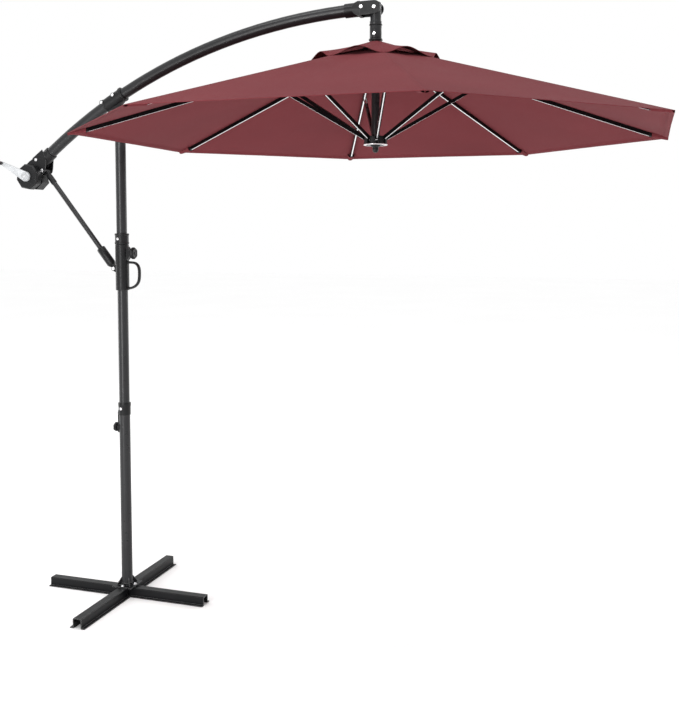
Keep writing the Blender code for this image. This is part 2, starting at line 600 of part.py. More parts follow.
def build_ribs():
    hinge = Vector((HUB_HINGE_R, 0, HUB_HINGE_Z))
    ahead = Vector((1, 0, -RIB_SLOPE)).normalized()
    tip = hinge + ahead * ((RIB_TIP_R - HUB_HINGE_R) / ahead.x)
    for k in range(RIB_COUNT):
        shape = box_tube(hinge - ahead * 0.006, tip, RIB_WIDTH / 2, RIB_DEPTH / 2, RIB_WALL)
        place_on_rib(shape, k)
        piece("rib_%d" % (k + 1), shape, CHARCOAL, rib_place(k, HUB_HINGE_R, HUB_HINGE_Z))

    foot = Vector((RUNNER_HINGE_R, 0, RUNNER_HINGE_Z))
    reach = (STRETCHER_REACH - HUB_HINGE_R) / ahead.x
    head = hinge + ahead * reach
    along = (head - foot).normalized()
    inside, outside, web_top, lip = 0.0053, 0.0063, -0.0105, 0.0028
    web_low = web_top + 0.0012
    slot_half, slot_length = inside + 0.00015, 0.100
    section = [(-outside, lip), (-outside, web_top), (outside, web_top), (outside, lip)]
    section += [(inside, lip), (inside, web_low), (-inside, web_low), (-inside, lip)]
    slot = [(-slot_half, -0.02), (slot_half, -0.02), (slot_half, 0.02), (-slot_half, 0.02)]
    above_rib = [(-0.01, -0.03), (0.01, -0.03), (0.01, -0.0068), (-0.01, -0.0068)]
    for k in range(RIB_COUNT):
        shape = channel(section, foot - along * 0.004, head + along * 0.0055)
        place_on_rib(shape, k)
        name = "stretcher_%d" % (k + 1)
        stretcher = piece(name, shape, CHARCOAL, rib_place(k, RUNNER_HINGE_R, RUNNER_HINGE_Z))
        clear = channel(slot, head - along * slot_length, head + along * 0.02)
        place_on_rib(clear, k)
        cut(stretcher, clear, "fork")
        trim = channel(above_rib, head - ahead * 0.03, head + ahead * 0.03)
        place_on_rib(trim, k)
        cut(stretcher, trim, "trim")


def build_runner():
    axis_foot = (CANOPY_X, 0, 0)
    bore = 0.0122
    profile = [(bore, 2.0535), (0.0460, 2.0535), (0.0475, 2.0555), (0.0475, 2.0830), (0.0460, 2.0850), (bore, 2.0850)]
    hub = piece("runner_hub", turned(profile, 28, axis_foot), BLACK)
    cut_slots(hub, 0.0252, 0.0068, 2.04, 2.10)
    piece("inner_tube", turned(ring_profile(0.0118, 0.0104, 2.0560, 2.4000), 24, axis_foot), STEEL)
    profile = [(0, 2.0180), (0.0060, 2.0190), (0.0110, 2.0240), (0.0130, 2.0310), (0.0120, 2.0400), (0.0200, 2.0460)]
    profile += [(0.0215, 2.0500), (0.0210, 2.0530), (0, 2.0530)]
    piece("finial", turned(profile, 24, axis_foot), BLACK)


# ---------------------------------------------------------------- cloth
def cloth_shell(rings):
    """A thin closed octagonal shell. rings: (corner radius, corner z, mid-side z), from the hole outwards."""
    shape = bmesh.new()
    layers = []
    for drop in (0, CLOTH):
        made = []
        for radius, corner_z, middle_z in rings:
            ring = []
            for k in range(RIB_COUNT * 2):
                turn = math.radians(FIRST_RIB_DEG + 180 * k / RIB_COUNT)
                at_rib = k % 2 == 0
                reach = radius if at_rib else radius * math.cos(math.pi / RIB_COUNT)
                height = (corner_z if at_rib else middle_z) - drop
                place = (CANOPY_X + reach * math.cos(turn), reach * math.sin(turn), height)
                ring.append(shape.verts.new(place))
            made.append(ring)
        layers.append(made)
    bridge_rings(shape, layers[0] + layers[1][::-1], closed=True)
    return shape


def build_cloth():
    hole, steps = 0.150, 6
    rings = []
    for i in range(steps + 1):
        radius = hole + (CANOPY_R - hole) * i / steps
        height = CANOPY_APEX_Z - RIB_SLOPE * radius
        rings.append((radius, height, height))
    piece("canopy", cloth_shell(rings), CLOTH_RED)
    rings = []
    for radius, height in ((0.0190, 2.4722), (0.160, 2.4330), (0.285, 2.3940)):
        rings.append((radius, height, height + CAP_LIFT * radius))
    piece("vent_cap", cloth_shell(rings), CLOTH_RED)


clear_scene()
build_base()
build_pole()
build_slider()
build_strut()
build_bracket()
build_boom()
build_crank()
build_hanger()
build_ribs()
build_runner()
build_cloth()
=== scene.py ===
"""Looks of the cantilever patio umbrella: cloth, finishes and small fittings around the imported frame."""
import json
import math

import bmesh
import bpy
from mathutils import Matrix, Vector, noise


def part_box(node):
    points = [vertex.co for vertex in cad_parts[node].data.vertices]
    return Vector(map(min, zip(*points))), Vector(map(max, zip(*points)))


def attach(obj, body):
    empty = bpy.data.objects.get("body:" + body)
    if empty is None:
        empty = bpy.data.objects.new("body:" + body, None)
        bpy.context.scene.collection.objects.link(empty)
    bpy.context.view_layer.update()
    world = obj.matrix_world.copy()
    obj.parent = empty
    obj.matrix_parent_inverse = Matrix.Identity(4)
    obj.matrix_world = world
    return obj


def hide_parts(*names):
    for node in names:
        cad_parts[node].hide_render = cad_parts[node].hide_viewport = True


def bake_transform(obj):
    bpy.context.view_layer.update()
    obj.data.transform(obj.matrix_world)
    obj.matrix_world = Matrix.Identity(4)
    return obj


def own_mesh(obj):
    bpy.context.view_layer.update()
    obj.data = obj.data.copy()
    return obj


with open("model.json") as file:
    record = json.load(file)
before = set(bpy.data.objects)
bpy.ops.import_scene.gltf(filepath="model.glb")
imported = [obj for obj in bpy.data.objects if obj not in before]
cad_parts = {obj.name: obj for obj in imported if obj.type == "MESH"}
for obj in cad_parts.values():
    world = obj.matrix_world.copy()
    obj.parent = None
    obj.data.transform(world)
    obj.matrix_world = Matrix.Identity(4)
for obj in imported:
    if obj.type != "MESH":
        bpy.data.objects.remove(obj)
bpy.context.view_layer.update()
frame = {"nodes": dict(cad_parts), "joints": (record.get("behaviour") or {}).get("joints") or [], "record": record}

# ---------------------------------------------------------------- places read from the frame
JOINTS = {joint["name"]: joint for joint in frame["joints"]}
BODY_OF = {node: body for body, nodes in frame["record"]["behaviour"]["bodies"].items() for node in nodes}
SLOT_OF = {part["node"]: part["material_slot"] for part in frame["record"]["subparts"]}


def pivot(joint):
    return Vector(JOINTS[joint]["pos_m"])


def middle(node):
    low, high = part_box(node)
    return (low + high) / 2


def reach_of(joint):
    """How far a rib's or stretcher's hinge stands from the canopy's axis."""
    return (pivot(joint) - AXIS).xy.length


# The canopy: eight flat gores on ribs that fall away from the hub on one slope.
RIB_COUNT = 8
HALF_GORE = math.pi / RIB_COUNT
FIRST_RIB = HALF_GORE
VENT_R = 0.150
FRAME_CLOTH = 0.0012
CLOTH = 0.0009
HEM = 0.024

canopy_low, canopy_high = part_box("canopy")
AXIS = Vector((middle("centre_post").x, 0, 0))
CANOPY_R = (canopy_high.y - canopy_low.y) / 2 / math.cos(HALF_GORE)
EDGE_Z = canopy_low.z + FRAME_CLOTH
SLOPE = (canopy_high.z - EDGE_Z) / (CANOPY_R - VENT_R)
APEX_Z = canopy_high.z + SLOPE * VENT_R
AHEAD = Vector((1, 0, -SLOPE)).normalized()

# The vent cap: (radius, height) where its slope changes, and how far it rises between ribs.
CAP_RINGS = ((0.019, 2.4722), (0.160, 2.4245), (0.285, 2.3810))
CAP_SPLIT = 0.100
CAP_HEM = 0.012
CAP_HUMP = 0.029

# Level distances out from the canopy's axis, and the curve of the boom.
RIB_END = 1.185
STRETCHER_REACH = 0.465
ARC_CENTRE = pivot("boom_slide")
ARC_R = 2.525

# Rounding of the frame's own edges.
FINE_EDGE = 0.0004
BAR_EDGE = 0.0008
FOOT_EDGE = 0.0010

FLOOR_SIZE = 60.0
LAMPS_FACE = Vector((0.2, 0, 1.3))
CAMERA_PLACE = (2.27405, -3.70157, 1.69709)
CAMERA_YAW = 107.907
CAMERA_PITCH = -3.7504
CAMERA_LENS = 47.26
CAMERA_SHIFT = (-0.0100, -0.0860)


# ---------------------------------------------------------------- shader helpers
def new_material(name, **sockets):
    made = bpy.data.materials.new(name)
    made.use_nodes = True
    shader = made.node_tree.nodes["Principled BSDF"]
    for key, value in sockets.items():
        shader.inputs[key.replace("_", " ")].default_value = value
    return made, made.node_tree, shader


def feed(tree, socket, value):
    """Link an output into a socket, or set the socket to a plain value."""
    if isinstance(value, bpy.types.NodeSocket):
        tree.links.new(value, socket)
    else:
        socket.default_value = value


def add_node(tree, kind, settings=None, **inputs):
    node = tree.nodes.new("ShaderNode" + kind)
    for key, value in (settings or {}).items():
        setattr(node, key, value)
    for key, value in inputs.items():
        feed(tree, node.inputs[key.replace("_", " ")], value)
    return node


def maths(tree, operation, *values):
    node = tree.nodes.new("ShaderNodeMath")
    node.operation = operation
    for socket, value in zip(node.inputs, values):
        feed(tree, socket, value)
    return node.outputs[0]


def blobs(tree, where, scale, detail, roughness=0.55):
    """Fractal noise, mostly between 0.3 and 0.7."""
    made = add_node(tree, "TexNoise", Vector=where, Scale=scale, Detail=detail, Roughness=roughness)
    return made.outputs["Fac"]


def stretched(tree, where, scale):
    """Coordinates scaled by a different amount along each axis, for marks that run one way."""
    return add_node(tree, "Mapping", Vector=where, Scale=scale).outputs["Vector"]


def spread(tree, value, low, high, to_low, to_high):
    """Map the range low to high onto to_low to to_high, clamped."""
    inputs = {"Value": value, "From_Min": low, "From_Max": high, "To_Min": to_low, "To_Max": to_high}
    return add_node(tree, "MapRange", **inputs).outputs["Result"]


def mixed(tree, share, first, second):
    return add_node(tree, "MixRGB", Fac=share, Color1=first, Color2=second).outputs["Color"]


def bumped(tree, height, strength, distance, under=None):
    """A bump of the given depth in metres, laid over the normal under it."""
    made = add_node(tree, "Bump", Height=height, Strength=strength, Distance=distance)
    if under is not None:
        tree.links.new(under, made.inputs["Normal"])
    return made.outputs["Normal"]


def edge_highlight_mask(tree, radius):
    """1 along sharp edges, 0 on flats: where a painted highlight is laid along the edges."""
    hardly_rounded = 0.00002
    wide = add_node(tree, "Bevel", {"samples": 4}, Radius=radius).outputs["Normal"]
    near = add_node(tree, "Bevel", {"samples": 2}, Radius=hardly_rounded).outputs["Normal"]
    agree = tree.nodes.new("ShaderNodeVectorMath")
    agree.operation = "DOT_PRODUCT"
    tree.links.new(wide, agree.inputs[0])
    tree.links.new(near, agree.inputs[1])
    return spread(tree, maths(tree, "SUBTRACT", 1.0, agree.outputs["Value"]), 0.015, 0.12, 0.0, 1.0)


def shade(colour, factor):
    """A lighter or darker tone of a colour, fully opaque."""
    return tuple(min(channel * factor, 1.0) for channel in colour) + (1.0,)


# ---------------------------------------------------------------- materials
def cloth_material():
    """Solution-dyed polyester: plain weave, slubs, slow fading, and lockstitch beside seams and hem."""
    made, tree, shader = new_material("umbrella_cloth", Roughness=0.80, Sheen_Weight=0.01,
                                      Sheen_Roughness=0.45, Specular_IOR_Level=0.05)
    colour = (0.1370, 0.0275, 0.0325)
    thread_pair = 0.0016
    stitches_per_m = 250.0
    stitch_share = 0.62
    stitch_half = 0.0006
    from_seam = 0.0065
    from_hem = 0.003
    place = add_node(tree, "UVMap", {"uv_map": "weave"}).outputs["UV"]
    solid = add_node(tree, "TexCoord").outputs["Object"]
    split = add_node(tree, "SeparateXYZ", Vector=place)
    across, along = split.outputs["X"], split.outputs["Y"]

    turns = 2 * math.pi / thread_pair
    warp = maths(tree, "SINE", maths(tree, "MULTIPLY", across, turns))
    weft = maths(tree, "SINE", maths(tree, "MULTIPLY", along, turns))
    weave = maths(tree, "MULTIPLY", warp, weft)
    slub_warp = blobs(tree, stretched(tree, place, (900, 12, 1)), 1.0, 2.0)
    slub_weft = blobs(tree, stretched(tree, place, (12, 900, 1)), 1.0, 2.0)
    slub = maths(tree, "ADD", slub_warp, slub_weft)
    fading = blobs(tree, solid, 2.3, 4.0)
    creasing = blobs(tree, solid, 14.0, 3.0)

    base = mixed(tree, spread(tree, fading, 0.3, 0.7, 0.0, 1.0), shade(colour, 0.93), shade(colour, 1.07))
    base = mixed(tree, spread(tree, slub, 0.7, 1.3, 0.0, 0.16), base, shade(colour, 1.45))
    base = mixed(tree, spread(tree, weave, -1.0, 1.0, 0.0, 0.10), base, shade(colour, 0.55))

    rows = []
    for distance, row_at, way in ((maths(tree, "ABSOLUTE", across), from_seam, along),
                                  (along, HEM - from_hem, across)):
        on_row = maths(tree, "COMPARE", distance, row_at, stitch_half)
        count = maths(tree, "MULTIPLY", way, stitches_per_m)
        dash = maths(tree, "LESS_THAN", maths(tree, "FRACT", count), stitch_share)
        rows.append(maths(tree, "MULTIPLY", on_row, dash))
    stitches = maths(tree, "MAXIMUM", *rows)
    base = mixed(tree, maths(tree, "MULTIPLY", stitches, 0.7), base, shade(colour, 0.35))
    tree.links.new(base, shader.inputs["Base Color"])
    tree.links.new(spread(tree, slub, 0.6, 1.4, 0.70, 0.86), shader.inputs["Roughness"])
    normal = bumped(tree, creasing, 0.25, 0.004)
    normal = bumped(tree, weave, 0.35, 0.00018, normal)
    normal = bumped(tree, maths(tree, "ADD", slub, stitches), 0.30, 0.00035, normal)
    tree.links.new(normal, shader.inputs["Normal"])
    return made


def paint_material(name, colour, rough, specular, edge=0.0):
    """Powder coat: fine orange peel, slow tone changes, dust flecks, rubbed patches, and edges lightened as a
    painted highlight that is broken up like wear.
    """
    made, tree, shader = new_material(name, Specular_IOR_Level=specular)
    where = add_node(tree, "TexCoord").outputs["Object"]
    tone = blobs(tree, where, 7.0, 4.0)
    peel = blobs(tree, where, 900.0, 2.0)
    flecks = blobs(tree, where, 240.0, 5.0, 0.7)
    rubbed = blobs(tree, where, 38.0, 6.0, 0.7)
    base = mixed(tree, spread(tree, tone, 0.3, 0.7, 0.0, 1.0), shade(colour, 0.82), shade(colour, 1.20))
    base = mixed(tree, spread(tree, flecks, 0.66, 0.76, 0.0, 0.35), base, shade(colour, 3.2))
    base = mixed(tree, spread(tree, rubbed, 0.62, 0.74, 0.0, 0.28), base, shade(colour, 2.2))
    # painted highlight along the edges, broken up by the rubbed pattern so it is partly edge wear
    if edge:
        worn_and_highlit_edges = maths(tree, "MULTIPLY", edge_highlight_mask(tree, 0.0022), spread(tree, rubbed, 0.2, 0.6, 0.6, 1.0))
        base = mixed(tree, worn_and_highlit_edges, base, (edge, edge, edge, 1))
    tree.links.new(base, shader.inputs["Base Color"])
    tree.links.new(spread(tree, rubbed, 0.3, 0.7, rough - 0.05, rough + 0.07), shader.inputs["Roughness"])
    tree.links.new(bumped(tree, peel, 0.30, 0.00022), shader.inputs["Normal"])
    return made


def plastic_material(name, colour, rough, specular, edge=0.0):
    """Moulded plastic: spark-eroded grain, flow marks, a few scuffs and edges lightened as a painted highlight."""
    made, tree, shader = new_material(name, Specular_IOR_Level=specular)
    where = add_node(tree, "TexCoord").outputs["Object"]
    grain = add_node(tree, "TexVoronoi", Vector=where, Scale=1500.0).outputs["Distance"]
    flow = blobs(tree, where, 22.0, 3.0)
    scuffs = blobs(tree, stretched(tree, where, (30, 180, 90)), 1.0, 5.0, 0.7)
    base = mixed(tree, spread(tree, flow, 0.3, 0.7, 0.0, 1.0), shade(colour, 0.85), shade(colour, 1.18))
    base = mixed(tree, spread(tree, scuffs, 0.63, 0.74, 0.0, 0.25), base, shade(colour, 2.0))
    # painted highlight along the edges
    if edge:
        base = mixed(tree, edge_highlight_mask(tree, 0.0018), base, (edge, edge, edge, 1))
    tree.links.new(base, shader.inputs["Base Color"])
    tree.links.new(spread(tree, scuffs, 0.3, 0.7, rough - 0.06, rough + 0.08), shader.inputs["Roughness"])
    tree.links.new(bumped(tree, grain, 0.35, 0.00025), shader.inputs["Normal"])
    return made


def metal_material(name, colour, rough):
    """Drawn bright metal: fine lines from drawing, light staining."""
    made, tree, shader = new_material(name, Metallic=1.0)
    where = add_node(tree, "TexCoord").outputs["Object"]
    lines = blobs(tree, stretched(tree, where, (1400, 1400, 25)), 1.0, 3.0)
    stain = blobs(tree, where, 60.0, 4.0)
    base = mixed(tree, spread(tree, stain, 0.45, 0.75, 0.0, 0.5), shade(colour, 1.0), shade(colour, 0.72))
    tree.links.new(base, shader.inputs["Base Color"])
    tree.links.new(spread(tree, stain, 0.3, 0.7, rough, rough + 0.14), shader.inputs["Roughness"])
    tree.links.new(bumped(tree, lines, 0.20, 0.00012), shader.inputs["Normal"])
    return made


def floor_material():
    """Matt white studio floor, very slightly uneven in tone."""
    made, tree, shader = new_material("studio_floor", Roughness=0.9, Specular_IOR_Level=0.1)
    darker = (0.985, 0.985, 0.985, 1)
    lighter = (0.998, 0.998, 0.998, 1)
    where = add_node(tree, "TexCoord").outputs["Object"]
    tone = blobs(tree, where, 0.6, 2.0)
    base = mixed(tree, spread(tree, tone, 0.3, 0.7, 0.0, 1.0), darker, lighter)
    tree.links.new(base, shader.inputs["Base Color"])
    return made


FINISH = {
    "base_paint": paint_material("base_powder_coat", (0.0060, 0.0062, 0.0070), 0.36, 0.16, edge=0.24),
    "pole_paint": paint_material("pole_powder_coat", (0.0150, 0.0153, 0.0165), 0.30, 0.34),
    "frame_paint": paint_material("frame_powder_coat", (0.0130, 0.0133, 0.0145), 0.30, 0.32),
    "rib_paint": paint_material("rib_gloss_coat", (0.0030, 0.0030, 0.0035), 0.28, 0.15),
    "inner_tube": metal_material("drawn_aluminium", (0.45, 0.45, 0.46), 0.32),
    "bright_steel": metal_material("bright_plated_steel", (0.92, 0.92, 0.93), 0.22),
    "black_plastic": plastic_material("moulded_black", (0.0080, 0.0081, 0.0088), 0.36, 0.22, edge=0.06),
    "pale_plastic": plastic_material("moulded_pale_grey", (0.44, 0.45, 0.46), 0.38, 0.30, edge=0.16),
    "canopy_cloth": cloth_material(),
}


# ---------------------------------------------------------------- shape helpers
def add_piece(name, shape, slot, body=None, nodes=(), sharp_deg=35, bevel=0.0):
    """One visible object from a bmesh in the frame's own coordinates."""
    mesh = bpy.data.meshes.new(name)
    shape.to_mesh(mesh)
    shape.free()
    mesh.materials.append(FINISH[slot])
    mesh.shade_smooth()
    mesh.set_sharp_from_angle(angle=math.radians(sharp_deg))
    obj = bpy.data.objects.new(name, mesh)
    bpy.context.scene.collection.objects.link(obj)
    if bevel:
        rounding = obj.modifiers.new("edges", "BEVEL")
        rounding.width = bevel
        rounding.segments = 2
        rounding.limit_method = "ANGLE"
        rounding.angle_limit = math.radians(40)
        rounding.harden_normals = True
    if body:
        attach(obj, body)
    if nodes:
        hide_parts(*nodes)
    return obj


def lathe(profile, place, axis, segments, lobes=0, depth=0.0):
    """A closed turned solid. profile holds (radius, height); radius 0 closes an end.

    lobes and depth ripple every ring that lies outside the smooth middle.
    """
    smooth_middle = 0.012
    shape = bmesh.new()
    turn = Vector((0, 0, 1)).rotation_difference(Vector(axis)).to_matrix()
    place = Vector(place)
    rings = []
    for radius, height in profile:
        if radius == 0:
            rings.append([shape.verts.new(place + turn @ Vector((0, 0, height)))])
            continue
        ring = []
        for i in range(segments):
            angle = 2 * math.pi * i / segments
            reach = radius + depth * math.cos(lobes * angle) * (radius > smooth_middle)
            spot = Vector((reach * math.cos(angle), reach * math.sin(angle), height))
            ring.append(shape.verts.new(place + turn @ spot))
        rings.append(ring)
    if len(rings[0]) > 1 and len(rings[-1]) > 1:
        rings.append(rings[0])
    for first, second in zip(rings, rings[1:]):
        for i in range(segments):
            j = (i + 1) % segments
            if len(first) == 1:
                corners = [first[0], second[j], second[i]]
            elif len(second) == 1:
                corners = [first[i], first[j], second[0]]
            else:
                corners = [first[i], first[j], second[j], second[i]]
            shape.faces.new(corners)
    bmesh.ops.recalc_face_normals(shape, faces=shape.faces)
    return shape


def join_rings(shape, rings):
    """Skin a row of equal rings of vertices into a solid with flat ends."""
    count = len(rings[0])
    for first, second in zip(rings, rings[1:]):
        for i in range(count):
            j = (i + 1) % count
            shape.faces.new([first[i], first[j], second[j], second[i]])
    shape.faces.new(rings[0])
    shape.faces.new(rings[-1])
    bmesh.ops.recalc_face_normals(shape, faces=shape.faces)


def on_rib(k):
    """From a drawing made along +X from the canopy's axis to rib k's own direction."""
    return Matrix.Translation(AXIS) @ Matrix.Rotation(FIRST_RIB + 2 * HALF_GORE * k, 4, "Z")


def rib_body(k):
    return "rib_%d_body" % (k + 1)


def fine_copy(node, bevel):
    """The node's own surface, welded and smooth, with rounded edges."""
    source = frame["nodes"][node].data
    shape = bmesh.new()
    corners = [shape.verts.new(v.co) for v in source.vertices]
    for face in source.polygons:
        shape.faces.new([corners[i] for i in face.vertices])
    bmesh.ops.remove_doubles(shape, verts=shape.verts, dist=4e-6)
    bmesh.ops.dissolve_limit(shape, angle_limit=math.radians(0.4), verts=shape.verts, edges=shape.edges)
    add_piece(node + "_fine", shape, SLOT_OF[node], BODY_OF[node], [node], 35, bevel)


# ---------------------------------------------------------------- cloth
def crease_steps(count, first):
    """From 0 to 1, closer together near 0, where the cloth bends over a rib."""
    return [0.0, first] + [first + (1 - first) * (i / count) ** 1.5 for i in range(1, count + 1)]


def mirrored(steps):
    return [-step for step in reversed(steps[1:])] + steps


def evenly(first, last, count):
    return [first + (last - first) * i / count for i in range(count + 1)]


def ring_place(radius, across):
    """Place on an octagon ring in a rib's drawing: across is 0 at the rib and 1 or -1 at mid-gore."""
    side = radius * math.cos(HALF_GORE) * math.sin(HALF_GORE)
    back = radius * math.sin(HALF_GORE) ** 2
    return Vector((radius - back * abs(across), side * across, 0))


def between_ribs(across):
    """0 over a rib and 1 at mid-gore, flat at both."""
    return 0.5 - 0.5 * math.cos(math.pi * across)


def canopy_point(radius, across):
    """The main cloth: straight over the ribs, with a little sag, ruck and bowed-in edge between them."""
    edge_bow = 0.0015
    deepest_sag = 0.0065
    ruck_height = 0.0022
    share = (radius - VENT_R) / (CANOPY_R - VENT_R)
    free = between_ribs(across)
    bow = edge_bow * share ** 8 * free
    sag = deepest_sag * math.sin(math.pi * share ** 0.8) * free
    place = ring_place(radius - bow, across)
    ruck = noise.noise(Vector((radius * 5.0, abs(across) * 2.2, 0.7))) * ruck_height
    place.z = APEX_Z - SLOPE * (radius - bow) - sag + ruck * free
    return place


def cap_height(radius):
    for (inner, high), (outer, low) in zip(CAP_RINGS, CAP_RINGS[1:]):
        if radius <= outer + 1e-9:
            return high + (low - high) * (radius - inner) / (outer - inner)


def cap_point(radius, across):
    """The vent cap: drawn down close above the ribs, and standing up in a hump between them."""
    edge_curl = 0.004
    share = radius / CAP_RINGS[-1][0]
    free = between_ribs(across)
    lift = CAP_HUMP * share ** 2.2 * free
    curl = edge_curl * max(share - 0.9, 0) / 0.1
    place = ring_place(radius * (1 - 0.03 * share ** 6 * free), across)
    place.z = cap_height(radius) + lift - curl * (1 - free)
    return place


def close_cloth(shape, weave, top, bottom, flat_place):
    """Join two grids of vertices into a thin closed cloth, with its weave mapped from the flat cut."""
    rows = len(top) - 1
    columns = len(top[0]) - 1
    for i in range(rows):
        for j in range(columns):
            shape.faces.new([top[i][j], top[i + 1][j], top[i + 1][j + 1], top[i][j + 1]])
            shape.faces.new([bottom[i][j], bottom[i][j + 1], bottom[i + 1][j + 1], bottom[i + 1][j]])
    for i in range(rows):
        for j in (0, -1):
            shape.faces.new([top[i][j], top[i + 1][j], bottom[i + 1][j], bottom[i][j]])
    for j in range(columns):
        for i in (0, -1):
            shape.faces.new([top[i][j], top[i][j + 1], bottom[i][j + 1], bottom[i][j]])
    bmesh.ops.recalc_face_normals(shape, faces=shape.faces)
    for face in shape.faces:
        for loop in face.loops:
            loop[weave].uv = flat_place[loop.vert]


def cloth_sector(name, k, point, radii, steps, thickness, hem=0.0):
    """A thin closed cloth piece over rib k, from radii[0] to radii[-1], half a gore to each side."""
    hem_layers = 2.2
    shape = bmesh.new()
    weave = shape.loops.layers.uv.new("weave")
    outer = radii[-1]
    flat_place = {}
    layers = []
    for low in (False, True):
        grid = []
        for radius in radii:
            row = []
            for across in steps:
                place = point(radius, across)
                drop = 0.0
                if low:
                    drop = thickness * (hem_layers if outer - radius < hem else 1.0)
                vert = shape.verts.new(on_rib(k) @ (place - Vector((0, 0, drop))))
                flat_place[vert] = (place.y, (outer - radius) / AHEAD.x)
                row.append(vert)
            grid.append(row)
        layers.append(grid)
    close_cloth(shape, weave, layers[0], layers[1], flat_place)
    return add_piece(name, shape, "canopy_cloth", sharp_deg=50)


def build_cloth():
    steps = mirrored(crease_steps(13, 0.012))
    main_radii = evenly(VENT_R, CANOPY_R - HEM, 40)
    main_radii += [CANOPY_R - HEM + 0.0008, CANOPY_R - HEM / 2, CANOPY_R - 0.003, CANOPY_R]
    inner_radii = evenly(CAP_RINGS[0][0], CAP_SPLIT, 12)
    outer_radii = evenly(CAP_SPLIT, CAP_RINGS[-1][0], 22)
    for k in range(RIB_COUNT):
        main = cloth_sector("canopy_panel_%d" % (k + 1), k, canopy_point, main_radii, steps, CLOTH, HEM)
        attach(main, rib_body(k))
        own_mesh(main)
        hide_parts("canopy")

        crown = cloth_sector("vent_cap_crown_%d" % (k + 1), k, cap_point, inner_radii, steps, CLOTH)
        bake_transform(crown)
        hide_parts("vent_cap")

        flap = cloth_sector("vent_cap_flap_%d" % (k + 1), k, cap_point, outer_radii, steps, CLOTH, CAP_HEM)
        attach(flap, rib_body(k))
        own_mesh(flap)
        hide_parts("vent_cap")


# ---------------------------------------------------------------- small fittings
def screw(name, body, place, axis, radius=0.0055, height=0.003):
    """Domed screw head with a round drive recess, on a thin washer."""
    profile = [(0, -0.004), (radius * 1.45, -0.004), (radius * 1.45, 0.0004), (radius * 1.35, 0.0010)]
    profile += [(radius, 0.0010), (radius * 0.97, height * 0.55), (radius * 0.80, height * 0.9)]
    profile += [(radius * 0.50, height), (radius * 0.42, height * 0.55), (0, height * 0.5)]
    add_piece(name, lathe(profile, place, axis, 24), "bright_steel", body)


def around(radius, degrees, height):
    """Place and outward direction on something round that stands on the pole's axis."""
    out = Vector((math.cos(math.radians(degrees)), math.sin(math.radians(degrees)), 0))
    return Vector((0, 0, height)) + out * radius, out


def band(name, body, place, axis, inner, outer, width):
    """A plastic ring with chamfered outer rims."""
    half = width / 2
    edge = min(0.0012, half / 2)
    profile = [(inner, -half), (outer - edge, -half), (outer, edge - half), (outer, half - edge)]
    profile += [(outer - edge, half), (inner, half)]
    add_piece(name, lathe(profile, place, axis, 48), "black_plastic", body)


def build_screws():
    """Rivets and screws on seat rings, in near and far pairs, and the rings round swivel and sleeve."""
    seat_depth = 0.0012
    on_rounds = (("collar_rivet_", "base_and_pole", 0.0272, 0.879),
                 ("ring_rivet_", "slider", 0.0304, 1.659))
    on_flats = (("elbow_screw_", "boom", (1.149, 0.0290, 2.612)),
                ("bracket_screw_low_", "bracket", (-0.078, 0.0300, 2.275)),
                ("bracket_screw_high_", "bracket", (-0.020, 0.0300, 2.306)),
                ("crank_case_bolt_", "boom", (-0.4320, 0.0302, 2.0260)))
    for label, degrees in (("near", -98), ("far", 98)):
        for name, body, radius, height in on_rounds:
            place, out = around(radius, degrees, height)
            screw(name + label, body, place, out, 0.0046)
            seat = around(radius - seat_depth, degrees, height)[0]
            band(name + "seat_" + label, body, seat, out, 0.0066, 0.0088, 0.0030)
        side = math.copysign(1, degrees)
        out = Vector((0, side, 0))
        for name, body, (x, y, z) in on_flats:
            screw(name + label, body, Vector((x, y * side, z)), out, 0.0050)
            seat = Vector((x, (y - seat_depth) * side, z))
            band(name + "seat_" + label, body, seat, out, 0.0072, 0.0098, 0.0036)
        screw_place = Vector((AXIS.x, 0.0240 * side, 2.502))
        eyelet_place = Vector((AXIS.x, 0.0240 * side, 2.525))
        screw("coupler_screw_" + label, "hanger", screw_place, out, 0.0040)
        band("coupler_eyelet_" + label, "hanger", eyelet_place, out, 0.0030, 0.0052, 0.0030)
    band("swivel_seal", "hanger", (AXIS.x, 0, 2.5390), (0, 0, 1), 0.0232, 0.0272, 0.0030)

    sleeve_bands = (("sleeve_band_low", 30.30, 0.0318, 0.0080),
                    ("sleeve_band_high", 28.05, 0.0335, 0.0110))
    for name, degrees, outer, width in sleeve_bands:
        turn = math.radians(degrees)
        from_centre = Vector((-math.sin(turn), 0, math.cos(turn)))
        place = ARC_CENTRE + from_centre * ARC_R
        along_boom = from_centre.cross(Vector((0, 1, 0)))
        band(name, "bracket", place, along_boom, 0.0262, outer, width)


def build_crank_trim():
    """Raised rings on the lever's hub end, and a plug at its middle."""
    hub = pivot("crank_turn")
    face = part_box("crank_arm")[0].y
    profile = [(0, -0.0010), (0.0208, -0.0010), (0.0208, 0.0010), (0.0198, 0.0018), (0.0180, 0.0018)]
    profile += [(0.0170, 0.0004), (0.0140, 0.0004), (0.0130, 0.0016), (0.0108, 0.0016), (0.0098, 0.0003)]
    profile += [(0.0070, 0.0003), (0.0062, 0.0022), (0, 0.0026)]
    shape = lathe(profile, (hub.x, face, hub.z), (0, -1, 0), 48)
    add_piece("crank_hub_rings", shape, "pale_plastic", "crank")


def build_hub_wires():
    """The ring wires that hold the ribs and stretchers in their hubs."""
    wire = 0.0016
    sides = 10
    for name, body, joint in (("crown_ring_wire", "hanger", "rib_1_fold"),
                              ("runner_ring_wire", "runner", "stretcher_1_lift")):
        profile = []
        for i in range(sides):
            angle = 2 * math.pi * i / sides
            profile.append((reach_of(joint) + wire * math.cos(angle), wire * math.sin(angle)))
        shape = lathe(profile, (AXIS.x, 0, pivot(joint).z), (0, 0, 1), 64)
        add_piece(name, shape, "bright_steel", body)


